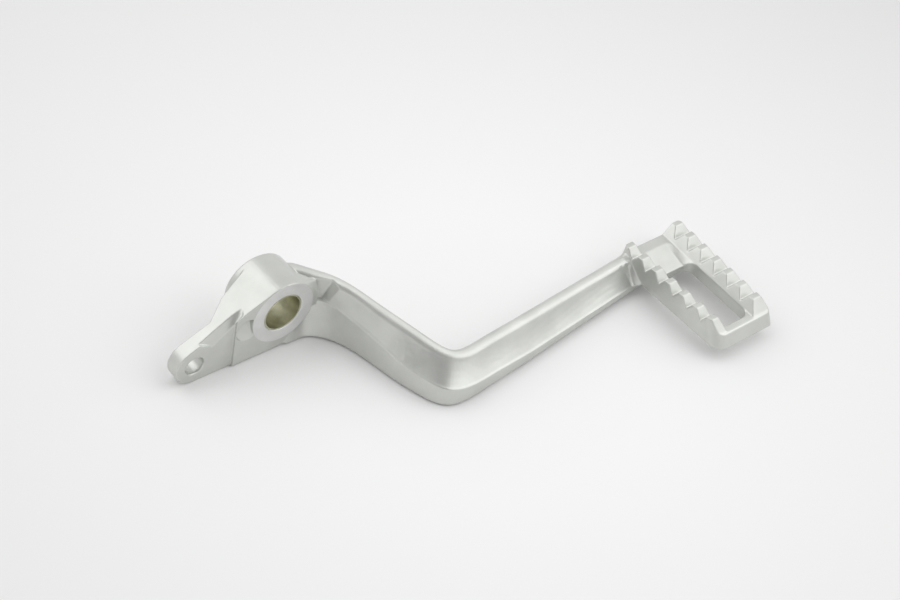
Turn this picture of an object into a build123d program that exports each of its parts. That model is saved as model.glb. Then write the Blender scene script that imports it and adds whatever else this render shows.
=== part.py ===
# Rear brake pedal: one casting with a pressed-in bearing sleeve.
# Frame in millimetres: origin on the pivot axis at the middle of the hub,
# X forward to the toe pad, Y inboard along the pivot axis, Z up.
import math
import os

from build123d import *

os.makedirs("parts", exist_ok=True)

# Underside of the lever and of the arm up to its elbow.
UNDERSIDE = -13.5

# Hub and its thin-walled bearing sleeve for a 12 mm pin.
HUB_R = 10.8
HUB_LENGTH = 15.0
NEAR = -HUB_LENGTH / 2
FAR = HUB_LENGTH / 2
BUSH_OUTER_R = 6.5
BUSH_INNER_R = 6.0
BUSH_RECESS = 0.25
BORE_CHAMFER = 0.2
HUB_EDGE = 0.5
SPOT_FACE_R = 10.3

# Short lever behind the hub with the eye for the brake rod. Its near face steps
# back at the eye, and its far face comes in from the hub to the thin eye.
EYE_X = -29.3
EYE_Z = -7.8
EYE_HOLE_R = 3.0
EYE_OUTER_R = 6.3
EYE_CHAMFER = 0.35
EYE_STEP = 0.8
EYE_THICKNESS = 4.8
EYE_NEAR = NEAR + EYE_STEP
EYE_FAR = EYE_NEAR + EYE_THICKNESS
STEP_X = -16.5
LEVER_ROOT_X = 5.0
LEVER_FAR = [(-22.0, EYE_FAR), (-15.2, 2.5), (-6.0, 5.5), (LEVER_ROOT_X, 5.5)]

# Slanted facet under the lever's top rib: its ends at the hub and at the eye,
# each given by a point on the rib and a point just off the near face.
FACET_HUB = ((-12.2, EYE_NEAR + 3.0, 6.75), (-14.4, EYE_NEAR - 0.1, 5.0))
FACET_EYE = ((EYE_X + 1.0, EYE_NEAR + 1.1, 0.0), (EYE_X + 4.0, EYE_NEAR - 0.1, -4.6))
EYE_BOSS_R = 7.4

# Scoop in the lever's near face beside the hub boss, deepest at its round top.
SCOOP_X = -12.5
SCOOP_Z = -1.2
SCOOP_R = 3.7
SCOOP_TILT = 18.0

# Teeth: their number, their profile along the rails, and the length of a row.
TEETH = 7
TOOTH_PITCH = 6.25
TOOTH_LAND = 1.9
TOOTH_DEPTH = 2.6
TOOTH_RISE = 1.4
ROW = TEETH * TOOTH_PITCH

# Toe pad: an open frame with a tooth row on each long rail. X and Y of its four
# edges at the underside, at the top of the frame and at the tooth tops. The
# front edge runs back towards the outboard end.
PAD_REACH = 113.3
PAD_WIDTH = 28.6
PAD_INBOARD = -34.7
PAD_UNDERSIDE = -9.8
PAD_TOP = -5.6
TOOTH_TOP = -1.9
REAR_EDGE = (PAD_REACH, PAD_REACH + 0.4, PAD_REACH + 0.8)
PAD_FRONT = PAD_REACH + PAD_WIDTH
FRONT_EDGE = (PAD_FRONT, PAD_FRONT - 0.3, PAD_FRONT - 2.6)
INBOARD_EDGE = (PAD_INBOARD, PAD_INBOARD - 0.1, PAD_INBOARD - 0.2)
PAD_OUTBOARD = PAD_INBOARD - ROW
OUTBOARD_EDGE = (PAD_OUTBOARD - 2.75, PAD_OUTBOARD - 0.25, PAD_OUTBOARD + 1.95)
FRONT_TURN = 3.3
PAD_INBOARD_R = 1.2
PAD_OUTBOARD_R = (4.5, 2.4)
PAD_RIM = 0.6

# Slot between the rails, with a ramp down into it from the inboard bar, and the
# inner edges of the tooth tops, which stand back from it.
REAR_RAIL = 5.8
FRONT_RAIL = 9.3
SLOT_REAR = PAD_REACH + REAR_RAIL
SLOT_FRONT = PAD_FRONT - FRONT_RAIL
REAR_ROW_INNER = SLOT_REAR - 1.5
FRONT_ROW_INNER = SLOT_FRONT + 3.2
SLOT_TURN = 1.9
SLOT_R = 3.0
END_BAR = 2.7
INBOARD_BAR = 3.7
RAMP_LENGTH = 9.8
RAMP_DROP = 2.2
RAMP_SIDE = 2.4

# How far a cutter reaches out into the open.
ABOVE = 5.0

# The arm: at each station the inner top edge and the foot of the outer wall in
# plan, then the lean of that wall and the heights of rib, lip and underside.
ARM_END = PAD_REACH + 1.0
ARM = [
    ((7.6, 4.6), (1.0, -7.2), 4.0, 7.0, -2.5, UNDERSIDE),
    ((13.7, 0.4), (7.6, -8.3), 4.0, 6.3, -2.5, UNDERSIDE),
    ((18.2, -4.5), (13.2, -11.8), 3.4, 5.5, -2.5, UNDERSIDE),
    ((21.8, -9.9), (16.3, -16.8), 1.4, 4.4, -3.0, UNDERSIDE),
    ((25.9, -20.0), (18.6, -23.8), 0.6, 2.6, -4.1, UNDERSIDE),
    ((31.0, -33.5), (21.3, -36.3), 0.4, 0.4, -6.1, UNDERSIDE),
    ((33.3, -39.0), (23.7, -44.0), 0.4, -0.7, -6.9, UNDERSIDE),
    ((35.9, -42.5), (28.5, -51.9), 0.4, -1.4, -7.6, UNDERSIDE),
    ((40.7, -43.3), (38.3, -53.4), 0.3, -1.7, -8.6, -13.3),
    ((63.3, -41.0), (62.2, -51.0), 0.2, -2.5, -9.9, -13.0),
    ((ARM_END, -35.0), (ARM_END, -44.8), 0.2, -5.1, -10.9, -12.3),
]
ARM_SPACING = 9.0

# Shape of the arm's slice. RIB_TOP and RIB_SHOULDER end the rib's flat top and its
# shoulder: distance in from the inner edge, and drop below the rib's height.
RIB_EDGE = 1.5
RIB_TOP = (2.7, 0.15)
RIB_SHOULDER = (4.4, 1.3)
LIP_EDGE = 0.6
LIP_HEIGHT = 0.7
ROUND = 0.25
FACE_SAG = 0.2

# Radius of the hollow blend up to the pad, and how far it starts under the skin.
FLARE = 4.0
FLARE_SINK = 0.15

# Notch between the hub and the start of the arm's wide face: its back wall and
# mouth in plan, its floor, and the leaning end wall of the arm.
NOTCH = [(8.8, -1.5), (20.0, -9.6), (20.0, -17.0), (6.0, -17.0), (6.0, -1.5)]
NOTCH_FLOOR = -2.0
NOTCH_CORNER = (17.2, -7.6, 5.2)
NOTCH_WALL = (-0.944, -0.228, 0.238)

# Web between the hub and the notch: its outline in plan, and the two planes that
# bound its top, each by a point and its way out.
WEB = [(4.0, -7.2), (4.0, 0.0), (13.0, -4.5), (12.7, -7.2)]
WEB_TOPS = [((5.4, 0.0, 9.35), (0.5, 0.0, 0.866)), ((13.0, -4.5, 5.7), (0.51, -0.68, 0.53))]


def across(radius, y0, y1, x=0.0, z=0.0):
    """Round bar along Y between two depths."""
    plane = Plane(origin=(x, y0, z), x_dir=(1, 0, 0), z_dir=(0, 1, 0))
    return extrude(plane * Circle(radius), y1 - y0)


def side_prism(points, y0, y1):
    """Prism along Y from an outline in X and Z."""
    plane = Plane(origin=(0, y0, 0), x_dir=(1, 0, 0), z_dir=(0, -1, 0))
    outline = plane * make_face(Polyline(*points, close=True))
    return extrude(outline, y1 - y0, dir=(0, 1, 0))


def cross_prism(points, x0, x1):
    """Prism along X from an outline in Y and Z."""
    plane = Plane(origin=(x0, 0, 0), x_dir=(0, 1, 0), z_dir=(1, 0, 0))
    outline = plane * make_face(Polyline(*points, close=True))
    return extrude(outline, x1 - x0, dir=(1, 0, 0))


def plan_prism(points, z0, z1):
    """Prism along Z from an outline in X and Y."""
    outline = Pos(0, 0, z0) * make_face(Polyline(*points, close=True))
    return extrude(outline, z1 - z0, dir=(0, 0, 1))


def skin(*rings):
    """Solid with flat sides between polygons of equal point counts."""
    wires = [Wire.make_polygon(ring) for ring in rings]
    return Part(Solid.make_loft(wires, ruled=True).wrapped)


def make_lever():
    """Side outline of the lever cut to its outline in plan."""
    reach = math.hypot(EYE_X, EYE_Z)
    slope = math.atan2(-EYE_Z, -EYE_X) + math.asin((HUB_R - EYE_OUTER_R) / reach)
    nx = -math.sin(slope)
    nz = math.cos(slope)
    eye_top = (EYE_X + nx * EYE_OUTER_R, EYE_Z + nz * EYE_OUTER_R)
    hub_top = (nx * HUB_R, nz * HUB_R)
    root = (LEVER_ROOT_X, UNDERSIDE)
    eye_low = (EYE_X, EYE_Z - EYE_OUTER_R)
    side = [eye_top, hub_top, (0, 0), root, eye_low, (EYE_X, EYE_Z)]
    body = side_prism(side, NEAR, FAR)
    body += across(EYE_OUTER_R, NEAR, FAR, EYE_X, EYE_Z)
    tip = EYE_X - EYE_OUTER_R - 1
    plan = [(tip, EYE_NEAR), (STEP_X, EYE_NEAR), (STEP_X, NEAR), (LEVER_ROOT_X, NEAR)]
    plan += LEVER_FAR[::-1] + [(tip, EYE_FAR)]
    body &= plan_prism(plan, -2 * HUB_R, 2 * HUB_R)
    return body - make_facet() - make_scoop()


def make_scoop():
    """Tilted round cutter, level with the near face at the scoop's lower end."""
    cutter = across(SCOOP_R, -HUB_LENGTH, 0, SCOOP_X, SCOOP_R)
    low = Pos(0, NEAR, SCOOP_Z - SCOOP_R)
    return low * Rot(-SCOOP_TILT, 0, 0) * cutter


def make_facet():
    """Wedge that leaves the slanted facet under the rib."""
    rings = []
    for rib, face in (FACET_HUB, FACET_EYE):
        outside = (rib[0], rib[1] - ABOVE, rib[2] + ABOVE)
        rings.append((rib, face, outside))
    return skin(*rings) - across(EYE_BOSS_R, NEAR - ABOVE, FAR, EYE_X, EYE_Z)


def arm_section(inner, outer, lean, rib, lip, under):
    """Upright slice of the arm: narrow rib, wide sunk face, lip, outer wall."""
    start = Vector(*inner, 0)
    across_arm = Vector(*outer, 0) - start
    width = across_arm.length
    u = across_arm.normalized()
    plane = Plane(origin=start, x_dir=u, z_dir=u.cross(Vector(0, 0, 1)))
    top = width - lean
    a = (0, under)
    b = (0, rib - RIB_EDGE)
    c = (RIB_EDGE, rib)
    d = (RIB_TOP[0], rib - RIB_TOP[1])
    e = (RIB_SHOULDER[0], rib - RIB_SHOULDER[1])
    f = (top - LIP_EDGE, lip + LIP_HEIGHT / 2)
    g = (top, lip - LIP_HEIGHT / 2)
    h = (width, under)
    edges = [
        Line(a, b),
        SagittaArc(b, c, ROUND * RIB_EDGE),
        Line(c, d),
        SagittaArc(d, e, ROUND),
        SagittaArc(e, f, -FACE_SAG),
        SagittaArc(f, g, ROUND),
        Line(g, h),
        Line(h, a),
    ]
    return plane * make_face(edges)


def mix(a, b, t):
    """Station a fraction t of the way from one arm station to the next."""
    if isinstance(a, tuple):
        return tuple(mix(p, q, t) for p, q in zip(a, b))
    return a + (b - a) * t


def arm_stations():
    """Stations at an even spacing, so that the skin over them stays smooth."""
    stations = [ARM[0]]
    for a, b in zip(ARM, ARM[1:]):
        middle = mix(a[0], a[1], 0.5), mix(b[0], b[1], 0.5)
        count = max(1, round(math.dist(*middle) / ARM_SPACING))
        stations += [mix(a, b, i / count) for i in range(1, count + 1)]
    return stations


def make_arm():
    return loft([arm_section(*station) for station in arm_stations()])


def make_flare():
    """Hollow blend from the arm's wide face up the rear wall of the pad."""
    length = ARM_END - ARM[-2][0][0]
    sections = []
    for turn in (0, 30, 60, 90):
        back = FLARE * (1 - math.sin(math.radians(turn))) + FLARE_SINK
        lift = FLARE * (1 - math.cos(math.radians(turn))) - FLARE_SINK
        inner, outer, lean, rib, lip, under = mix(ARM[-2], ARM[-1], 1 - back / length)
        inner = (inner[0], inner[1] - FLARE_SINK)
        outer = (outer[0], outer[1] + FLARE_SINK)
        under += FLARE_SINK
        sections.append(arm_section(inner, outer, lean - lift, rib + lift / 2, lip + lift, under))
    return loft(sections, ruled=True)


def beyond(point, way):
    """Big block on the outer side of a plane."""
    size = 4 * HUB_R
    return extrude(Plane(origin=point, z_dir=way) * Rectangle(size, size), size)


def make_notch():
    """Upright cut closed at the front by the leaning end wall of the arm."""
    return plan_prism(NOTCH, NOTCH_FLOOR, HUB_R + 1) & beyond(NOTCH_CORNER, NOTCH_WALL)


def make_web():
    web = plan_prism(WEB, NOTCH_FLOOR - 1, HUB_R)
    for point, way in WEB_TOPS:
        web -= beyond(point, way)
    return web


def turned(x, y, turn):
    """X at one place across the pad of a line that runs back by an angle."""
    return x - (PAD_INBOARD - y) * math.tan(math.radians(turn))


def pad_outline(level, z):
    """Rounded outline of the pad at one of its three heights."""
    y0 = OUTBOARD_EDGE[level]
    y1 = INBOARD_EDGE[level]
    rear = REAR_EDGE[level]
    front = FRONT_EDGE[level]
    corners = [(rear, y0), (turned(front, y0, FRONT_TURN), y0)]
    corners += [(turned(front, y1, FRONT_TURN), y1), (rear, y1)]
    face = make_face(Polyline(*corners, close=True))
    face = fillet(face.vertices().group_by(Axis.Y)[-1], PAD_INBOARD_R)
    for end, radius in enumerate(PAD_OUTBOARD_R):
        outboard = face.vertices().group_by(Axis.Y)[0].sort_by(Axis.X)
        face = fillet(outboard[-end], radius)
    return Pos(0, 0, z) * face


def pad_blank():
    """Pad up to the tooth tops, before the teeth and the slot are cut."""
    heights = (PAD_UNDERSIDE, PAD_TOP, TOOTH_TOP)
    outlines = [pad_outline(level, z) for level, z in enumerate(heights)]
    return loft(outlines[:2], ruled=True) + loft(outlines[1:], ruled=True)


def between_rows():
    """Space above the end bars between the inner faces of the tooth rows."""
    over = ABOVE / (TOOTH_TOP - PAD_TOP)
    high = TOOTH_TOP + ABOVE
    rings = []
    for y in (PAD_INBOARD + 1, OUTBOARD_EDGE[0] - 1):
        rear = mix(SLOT_REAR, REAR_ROW_INNER, 1 + over)
        base = turned(SLOT_FRONT, y, SLOT_TURN)
        front = mix(base, turned(FRONT_ROW_INNER, y, FRONT_TURN), 1 + over)
        ring = [(SLOT_REAR, y, PAD_TOP), (base, y, PAD_TOP), (front, y, high), (rear, y, high)]
        rings.append(ring)
    return skin(*rings)


def between_teeth():
    """Space over the saw-tooth line, and over the end bar behind the last tooth."""
    gullet = TOOTH_TOP - TOOTH_DEPTH
    line = []
    for i in range(TEETH):
        y = INBOARD_EDGE[2] - i * TOOTH_PITCH
        if i:
            line += [(y + TOOTH_RISE, gullet), (y, TOOTH_TOP)]
        line += [(y - TOOTH_LAND, TOOTH_TOP), (y - TOOTH_LAND - TOOTH_DEPTH, gullet)]
    line[-1] = (line[-1][0] - (gullet - PAD_TOP), PAD_TOP)
    high = TOOTH_TOP + ABOVE
    beyond = OUTBOARD_EDGE[0] - 1
    line += [(beyond, PAD_TOP), (beyond, high), (line[0][0], high)]
    return cross_prism(line, REAR_EDGE[0] - 1, FRONT_EDGE[0] + 1)


def slot_outline(y0, y1):
    """Rounded outline between the rails."""
    corners = [(SLOT_REAR, y0), (turned(SLOT_FRONT, y0, SLOT_TURN), y0)]
    corners += [(turned(SLOT_FRONT, y1, SLOT_TURN), y1), (SLOT_REAR, y1)]
    face = make_face(Polyline(*corners, close=True))
    return fillet(face.vertices(), SLOT_R)


def under_ramp(mouth, end):
    """Metal left under the ramp, whose front side slopes up to the foot of the teeth."""
    slope = RAMP_DROP / (mouth - end)
    deep = PAD_UNDERSIDE - ABOVE
    rings = []
    for y in (mouth + 1, end):
        low = PAD_TOP + slope * (y - mouth)
        front = turned(SLOT_FRONT, y, SLOT_TURN)
        top = [(SLOT_REAR - 1, y, low), (front - RAMP_SIDE, y, low), (front, y, PAD_TOP)]
        rings.append(top + [(front + 1, y, PAD_TOP), (front + 1, y, deep), (SLOT_REAR - 1, y, deep)])
    return skin(*rings)


def make_slot():
    """Through slot, and the shallow ramp that leads into it."""
    y0 = OUTBOARD_EDGE[1] + END_BAR
    mouth = INBOARD_EDGE[1] - INBOARD_BAR
    y1 = mouth - RAMP_LENGTH
    bottom = PAD_UNDERSIDE - 1
    height = PAD_TOP + ABOVE - bottom
    slot, well = (
        extrude(Pos(0, 0, bottom) * slot_outline(y0, y), height, dir=(0, 0, 1))
        for y in (y1, mouth)
    )
    return slot + (well - under_ramp(mouth, y1 - SLOT_R))


def on_rim(edge):
    """True for the outer top edge of the pad's outboard bar."""
    middle = edge @ 0.5
    at_top = abs(middle.Z - PAD_TOP) < 0.01
    return at_top and middle.Y < OUTBOARD_EDGE[1] + END_BAR / 3


def make_pad():
    pad = pad_blank() - between_rows() - between_teeth()
    pad = fillet([e for e in pad.edges() if on_rim(e)], PAD_RIM)
    return pad - make_slot()


def bevelled_hole(radius, size, y0, y1, x=0.0, z=0.0):
    """Through hole along Y with a small bevel at each of the two faces."""
    cutter = across(radius, y0 - 1, y1 + 1, x, z)
    for y, inward in ((y0, 1), (y1, -1)):
        plane = Plane(origin=(x, y, z), x_dir=(1, 0, 0), z_dir=(0, inward, 0))
        cutter += extrude(plane * Circle(radius + size), size, taper=45)
    return cutter


def make_pedal():
    hub = across(HUB_R, NEAR, FAR)
    far_rim = hub.edges().group_by(Axis.Y)[-1]
    hub = chamfer(far_rim, HUB_EDGE)
    body = make_arm() - make_notch()
    body += hub
    body += make_web()
    body += make_lever()
    body += make_pad()
    body += make_flare()
    body -= across(SPOT_FACE_R, NEAR - ABOVE, NEAR)
    body -= bevelled_hole(BUSH_OUTER_R, BORE_CHAMFER, NEAR, FAR)
    body -= bevelled_hole(EYE_HOLE_R, EYE_CHAMFER, EYE_NEAR, EYE_FAR, EYE_X, EYE_Z)
    return body


def make_bush():
    ends = (NEAR + BUSH_RECESS, FAR - BUSH_RECESS)
    return across(BUSH_OUTER_R, *ends) - across(BUSH_INNER_R, *ends)


pedal = make_pedal()
bush = make_bush()

for name, shape in (("pedal", pedal), ("pivot_bush", bush)):
    solids = shape.solids()
    print(name, len(solids), "solid", round(shape.volume, 1), "mm3", shape.is_valid)
    export_step(shape, f"parts/{name}.step")
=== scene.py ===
# Looks of the rear brake pedal: a satin silver casting with a bronze bearing,
# on a plain pale table under soft light. Metres, in the part's own frame.
from math import radians

import bpy
from mathutils import Matrix, Vector


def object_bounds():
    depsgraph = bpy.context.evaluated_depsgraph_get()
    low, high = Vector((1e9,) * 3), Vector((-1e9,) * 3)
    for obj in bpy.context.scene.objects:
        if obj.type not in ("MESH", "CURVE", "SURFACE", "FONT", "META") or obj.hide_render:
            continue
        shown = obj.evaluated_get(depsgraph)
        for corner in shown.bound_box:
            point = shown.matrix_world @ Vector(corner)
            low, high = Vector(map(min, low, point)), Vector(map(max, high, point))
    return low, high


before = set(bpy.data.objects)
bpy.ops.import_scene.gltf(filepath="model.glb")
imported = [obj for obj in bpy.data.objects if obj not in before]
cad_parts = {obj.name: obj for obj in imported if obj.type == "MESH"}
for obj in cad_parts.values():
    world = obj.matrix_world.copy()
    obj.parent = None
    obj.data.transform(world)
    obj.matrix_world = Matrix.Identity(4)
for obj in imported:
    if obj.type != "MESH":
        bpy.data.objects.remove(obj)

cad_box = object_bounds()
scene = bpy.context.scene
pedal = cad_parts["pedal"]
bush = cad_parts["pivot_bush"]

# The part's lowest and highest corners, and its middle.
LOW = Vector(cad_box[0])
HIGH = Vector(cad_box[1])
MIDDLE = (LOW + HIGH) / 2

# Casting: size of the cells its skin is redrawn in, rounds and pull of the smoothing after it,
# and the share of faces that is kept.
SKIN_CELL = 0.00022
SKIN_ROUNDS = 4
SKIN_PULL = 0.5
SKIN_KEPT = 0.32

# Fill between the arm's root and the lever, under the hub: its middle and its sides.
FILL_PLACE = (0.0065, 0.0018, -0.0108)
FILL_SIDES = (0.0055, 0.0054, 0.0052)

# Hub: it lies round the origin and reaches the part's top and its inboard side. Its end faces
# are turned bare inside a painted rim, down to a small depth.
PAINTED_RIM = 0.0002
TURNED_DEPTH = 0.00025
FACE_R = HIGH.z - PAINTED_RIM
FACE_Y = HIGH.y - TURNED_DEPTH
ALONG_PIVOT = (0, 1, 0)
ACROSS_PIVOT = (1, 0, 1)

# Bush: width and steps of its rounded edges, and the turn in radians that makes an edge.
BUSH_EDGE = 0.00025
BUSH_EDGE_STEPS = 3
BUSH_EDGE_TURN = 0.8

# Noise: layers of detail, and the spans of its values over which tint and sheen change.
COARSE = 2.0
MEDIUM = 3.0
FINE = 4.0
TINT_SPAN = (0.35, 0.65)
SHEEN_SPAN = (0.3, 0.7)

# Silver paint: ends of its tint and roughness, and the size of the patches in which they change.
PAINT_METALLIC = 0.75
PAINT_TINTS = ((0.58, 0.59, 0.56), (0.64, 0.65, 0.62))
PAINT_TINT_PATCH = 0.011
PAINT_ROUGH = (0.30, 0.37)
PAINT_ROUGH_PATCH = 0.004

# Bare turned metal of the hub's end faces: the same values.
BARE_TINTS = ((0.70, 0.70, 0.69), (0.77, 0.77, 0.76))
BARE_TINT_PATCH = 0.006
BARE_ROUGH = (0.46, 0.54)
BARE_ROUGH_PATCH = 0.002

# Relief of the casting: soft swells, and a fine grain on them.
SWELL_SIZE = 0.0045
SWELL_DEPTH = 0.0002
SWELL_STRENGTH = 0.15
GRAIN_SIZE = 0.0006
GRAIN_DEPTH = 0.00004
GRAIN_STRENGTH = 0.12

# Bearing bronze: ends of its tint, and turning marks about 0.35 mm apart that waver a little.
BRONZE_METALLIC = 0.9
BRONZE_TINTS = ((0.44, 0.435, 0.315), (0.58, 0.57, 0.43))
BRONZE_TINT_PATCH = 0.003
BRONZE_ROUGH = 0.34
MARK_SCALE = 900.0
MARK_WAVER = 1.5
MARK_DEPTH = 0.00003
MARK_STRENGTH = 0.4

# Table: half its side, its finish, and a painted pool of light on it: its tones by the part
# and further off, and the distances from the part's middle between which it fades.
TABLE_HALF = 4.0
TABLE_ROUGH = 0.75
TABLE_SHINE = 0.2
TABLE_POOL_TONES = (0.92, 0.72)
TABLE_POOL_FADE = (0.06, 0.30)

# Lamps: how far they stand from the part's middle; the way to each, its side and its watts.
LAMP_AWAY = 0.9
LAMPS = {
    "left": ((-0.40, 0.60, 0.75), 0.75, 1.4),
    "right": ((0.58, -0.28, 0.70), 1.00, 2.5),
}

# Room: way from the part to its dim patch, the patch's turn and spread, the tones inside
# and outside the patch, and where one gives way to the other.
DIM_WAY = (-0.45, -0.40, 0.80)
DIM_TURN = (0.0, 0.0, radians(221.0))
DIM_SPREAD = (1.0, 0.55, 0.75)
ROOM_TONES = (0.36, 0.86)
ROOM_FADE = (0.60, 0.95)

# Camera: its place, the directions of the picture's right and up, its lens and film width
# in millimetres, and the distance from which it sees.
CAMERA_PLACE = Vector((-0.24534, -0.28591, 0.36414))
VIEW_RIGHT = Vector((0.7621, -0.6253, 0.1679))
VIEW_UP = Vector((0.3456, 0.6122, 0.7112))
LENS = 71.5
FILM_WIDTH = 36.0
SEEN_FROM = 0.01


def material(name):
    """New node material: itself, its tree and its main shader."""
    mat = bpy.data.materials.new(name)
    mat.use_nodes = True
    return mat, mat.node_tree, mat.node_tree.nodes["Principled BSDF"]


def add(tree, kind, **inputs):
    """Node with some of its inputs set; underscores in the names stand for spaces."""
    node = tree.nodes.new(kind)
    for key, value in inputs.items():
        node.inputs[key.replace("_", " ")].default_value = value
    return node


def place(tree):
    """Place on the surface, in the part's own frame."""
    node = tree.nodes.get("place")
    if node is None:
        node = tree.nodes.new("ShaderNodeTexCoord")
        node.name = "place"
    return node.outputs["Object"]


def noise(tree, size, detail=MEDIUM):
    """Noise with features of about the given size in metres."""
    node = add(tree, "ShaderNodeTexNoise", Scale=1.0 / size, Detail=detail)
    tree.links.new(place(tree), node.inputs["Vector"])
    return node.outputs["Fac"]


def grey(tone):
    """Neutral colour of one tone."""
    return (tone, tone, tone)


def ramp(tree, value, colours, span=TINT_SPAN):
    """Colours between two ends, over the given span of a value."""
    node = tree.nodes.new("ShaderNodeValToRGB")
    for end, position, colour in zip(node.color_ramp.elements, span, colours):
        end.position = position
        end.color = (*colour, 1.0)
    tree.links.new(value, node.inputs["Fac"])
    return node.outputs["Color"]


def remap(tree, value, ends):
    """A noise's value spread between two new ends."""
    node = tree.nodes.new("ShaderNodeMapRange")
    names = ("From Min", "From Max", "To Min", "To Max")
    for name, limit in zip(names, (*SHEEN_SPAN, *ends)):
        node.inputs[name].default_value = limit
    tree.links.new(value, node.inputs["Value"])
    return node.outputs["Result"]


def bump(tree, height, depth, strength, below=None):
    """Relief of the given depth in metres, on top of another relief if there is one."""
    node = add(tree, "ShaderNodeBump", Strength=strength, Distance=depth)
    tree.links.new(height, node.inputs["Height"])
    if below is not None:
        tree.links.new(below, node.inputs["Normal"])
    return node.outputs["Normal"]


def vector_math(tree, operation, vector, second=None):
    """Outputs of a node that works on a vector, with a fixed second one if it needs one."""
    node = tree.nodes.new("ShaderNodeVectorMath")
    node.operation = operation
    tree.links.new(vector, node.inputs[0])
    if second is not None:
        node.inputs[1].default_value = second
    return node.outputs


def reach(tree, axes):
    """Distance from the part's origin, counted only along the axes marked with a 1."""
    kept = vector_math(tree, "MULTIPLY", place(tree), axes)["Vector"]
    return vector_math(tree, "LENGTH", kept)["Value"]


def compare(tree, how, value, limit):
    """1 where a value passes the comparison with a fixed limit, 0 elsewhere."""
    node = tree.nodes.new("ShaderNodeMath")
    node.operation = how
    tree.links.new(value, node.inputs[0])
    node.inputs[1].default_value = limit
    return node.outputs["Value"]


def turned_faces(tree):
    """1 on the hub's two turned end faces, 0 on the rest of the casting."""
    near_axis = compare(tree, "LESS_THAN", reach(tree, ACROSS_PIVOT), FACE_R)
    far_out = compare(tree, "GREATER_THAN", reach(tree, ALONG_PIVOT), FACE_Y)
    both = tree.nodes.new("ShaderNodeMath")
    both.operation = "MULTIPLY"
    tree.links.new(near_axis, both.inputs[0])
    tree.links.new(far_out, both.inputs[1])
    return both.outputs["Value"]


def choose(tree, kind, mask, plain, marked):
    """One value or colour where the mask is 0 and another where it is 1."""
    node = tree.nodes.new("ShaderNodeMix")
    node.data_type = kind
    tree.links.new(mask, node.inputs["Factor"])
    ends = [socket for socket in node.inputs if socket.name in ("A", "B") and socket.enabled]
    tree.links.new(plain, ends[0])
    tree.links.new(marked, ends[1])
    return next(socket for socket in node.outputs if socket.enabled)


def silver_paint():
    """Satin silver paint over the fine grain of a casting; the hub's end faces are turned bare."""
    mat, tree, shader = material("silver_paint")
    shader.inputs["Metallic"].default_value = PAINT_METALLIC
    ends = turned_faces(tree)
    paint = ramp(tree, noise(tree, PAINT_TINT_PATCH, FINE), PAINT_TINTS)
    bare = ramp(tree, noise(tree, BARE_TINT_PATCH, FINE), BARE_TINTS)
    tree.links.new(choose(tree, "RGBA", ends, paint, bare), shader.inputs["Base Color"])
    satin = remap(tree, noise(tree, PAINT_ROUGH_PATCH), PAINT_ROUGH)
    dull = remap(tree, noise(tree, BARE_ROUGH_PATCH), BARE_ROUGH)
    tree.links.new(choose(tree, "FLOAT", ends, satin, dull), shader.inputs["Roughness"])
    swell = bump(tree, noise(tree, SWELL_SIZE, COARSE), SWELL_DEPTH, SWELL_STRENGTH)
    grain = bump(tree, noise(tree, GRAIN_SIZE, FINE), GRAIN_DEPTH, GRAIN_STRENGTH, swell)
    tree.links.new(grain, shader.inputs["Normal"])
    return mat


def bush_bronze():
    """Dull olive bearing bronze with fine turning marks round its axis."""
    mat, tree, shader = material("bush_bronze")
    shader.inputs["Metallic"].default_value = BRONZE_METALLIC
    shader.inputs["Roughness"].default_value = BRONZE_ROUGH
    tint = ramp(tree, noise(tree, BRONZE_TINT_PATCH), BRONZE_TINTS)
    tree.links.new(tint, shader.inputs["Base Color"])
    lines = add(tree, "ShaderNodeTexWave", Scale=MARK_SCALE, Distortion=MARK_WAVER)
    lines.bands_direction = "Y"
    tree.links.new(place(tree), lines.inputs["Vector"])
    marks = bump(tree, lines.outputs["Fac"], MARK_DEPTH, MARK_STRENGTH)
    tree.links.new(marks, shader.inputs["Normal"])
    return mat


def table_white_with_painted_pool():
    """Plain matt white with a painted pool of light: it darkens a little away from the part."""
    mat, tree, shader = material("table_white_with_painted_pool")
    shader.inputs["Roughness"].default_value = TABLE_ROUGH
    shader.inputs["Specular IOR Level"].default_value = TABLE_SHINE
    # Painted pool of light: the colour darkens with distance from the part's middle.
    away = vector_math(tree, "DISTANCE", place(tree), MIDDLE)["Value"]
    tint = ramp(tree, away, [grey(tone) for tone in TABLE_POOL_TONES], TABLE_POOL_FADE)
    tree.links.new(tint, shader.inputs["Base Color"])
    return mat


def dress(obj, mat):
    """Gives an object one material in place of those it has."""
    obj.data.materials.clear()
    obj.data.materials.append(mat)


def fill_root():
    """Closes the narrow slit that a mould would fill between the arm's root and the lever."""
    tree = bpy.data.node_groups.new("root_fill", "GeometryNodeTree")
    for way in ("INPUT", "OUTPUT"):
        tree.interface.new_socket("Geometry", in_out=way, socket_type="NodeSocketGeometry")
    casting = tree.nodes.new("NodeGroupInput")
    block = add(tree, "GeometryNodeMeshCube", Size=FILL_SIDES)
    moved = add(tree, "GeometryNodeTransform", Translation=FILL_PLACE)
    tree.links.new(block.outputs["Mesh"], moved.inputs["Geometry"])
    painted = add(tree, "GeometryNodeSetMaterial", Material=pedal.data.materials[0])
    tree.links.new(moved.outputs["Geometry"], painted.inputs["Geometry"])
    # The casting is linked last: it then comes first in the join, and the new skin keeps its paint.
    both = tree.nodes.new("GeometryNodeJoinGeometry")
    tree.links.new(painted.outputs["Geometry"], both.inputs["Geometry"])
    tree.links.new(casting.outputs["Geometry"], both.inputs["Geometry"])
    result = tree.nodes.new("NodeGroupOutput")
    tree.links.new(both.outputs["Geometry"], result.inputs["Geometry"])
    pedal.modifiers.new("root_fill", "NODES").node_group = tree


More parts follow.
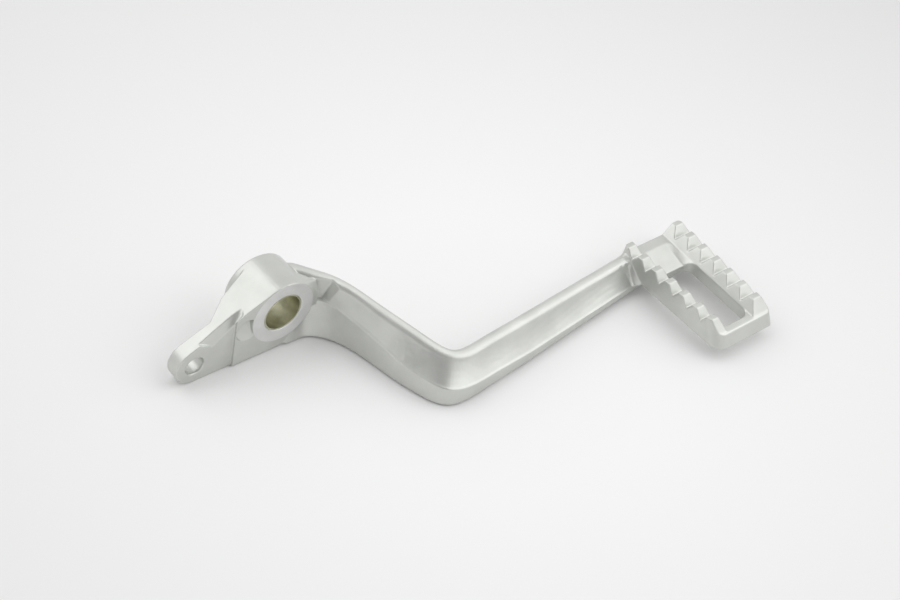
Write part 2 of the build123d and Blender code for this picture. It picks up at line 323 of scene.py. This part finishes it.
def soften_casting():
    """Rounds every edge of the casting as a mould and a coat of paint do."""
    skin = pedal.modifiers.new("skin", "REMESH")
    skin.mode = "VOXEL"
    skin.voxel_size = SKIN_CELL
    skin.use_smooth_shade = True
    smooth = pedal.modifiers.new("smooth", "SMOOTH")
    smooth.factor = SKIN_PULL
    smooth.iterations = SKIN_ROUNDS
    fewer = pedal.modifiers.new("fewer", "DECIMATE")
    fewer.ratio = SKIN_KEPT


def soften_bush():
    """Rounds the sharp edges at the bush's two ends."""
    edge = bush.modifiers.new("edge", "BEVEL")
    edge.width = BUSH_EDGE
    edge.segments = BUSH_EDGE_STEPS
    edge.limit_method = "ANGLE"
    edge.angle_limit = BUSH_EDGE_TURN


def add_table():
    """Large plain table under the part."""
    mesh = bpy.data.meshes.new("table")
    signs = ((-1, -1), (1, -1), (1, 1), (-1, 1))
    corners = [(x * TABLE_HALF, y * TABLE_HALF, LOW.z) for x, y in signs]
    mesh.from_pydata(corners, [], [(0, 1, 2, 3)])
    table = bpy.data.objects.new("table", mesh)
    scene.collection.objects.link(table)
    dress(table, table_white_with_painted_pool())


def add_softbox(name, toward, side, watts):
    """Square soft light in one direction from the part, facing its middle."""
    lamp = bpy.data.lights.new(name, "AREA")
    lamp.shape = "SQUARE"
    lamp.size = side
    lamp.energy = watts
    obj = bpy.data.objects.new(name, lamp)
    scene.collection.objects.link(obj)
    way = Vector(toward).normalized()
    obj.location = MIDDLE + way * LAMP_AWAY
    obj.rotation_euler = way.to_track_quat("Z", "Y").to_euler()


def add_world():
    """Pale room with a dim patch that runs from overhead down to one side."""
    world = bpy.data.worlds.new("room")
    scene.world = world
    world.use_nodes = True
    tree = world.node_tree
    sky = tree.nodes.new("ShaderNodeTexCoord")
    patch = add(tree, "ShaderNodeMapping", Location=DIM_WAY, Rotation=DIM_TURN, Scale=DIM_SPREAD)
    patch.vector_type = "TEXTURE"
    tree.links.new(sky.outputs["Generated"], patch.inputs["Vector"])
    off = vector_math(tree, "LENGTH", patch.outputs["Vector"])["Value"]
    colour = ramp(tree, off, [grey(tone) for tone in ROOM_TONES], ROOM_FADE)
    tree.links.new(colour, tree.nodes["Background"].inputs["Color"])


def add_camera():
    """Camera at the photograph's viewing angle."""
    data = bpy.data.cameras.new("camera")
    data.sensor_width = FILM_WIDTH
    data.lens = LENS
    data.clip_start = SEEN_FROM
    camera = bpy.data.objects.new("camera", data)
    scene.collection.objects.link(camera)
    right = VIEW_RIGHT.normalized()
    up = (VIEW_UP - right * VIEW_UP.dot(right)).normalized()
    turn = Matrix((right, up, right.cross(up))).transposed().to_4x4()
    camera.matrix_world = Matrix.Translation(CAMERA_PLACE) @ turn
    scene.camera = camera


dress(pedal, silver_paint())
dress(bush, bush_bronze())
fill_root()
soften_casting()
soften_bush()
add_table()
for name, (toward, side, watts) in LAMPS.items():
    add_softbox(name, toward, side, watts)
add_world()
add_camera()
scene.view_settings.view_transform = "Standard"
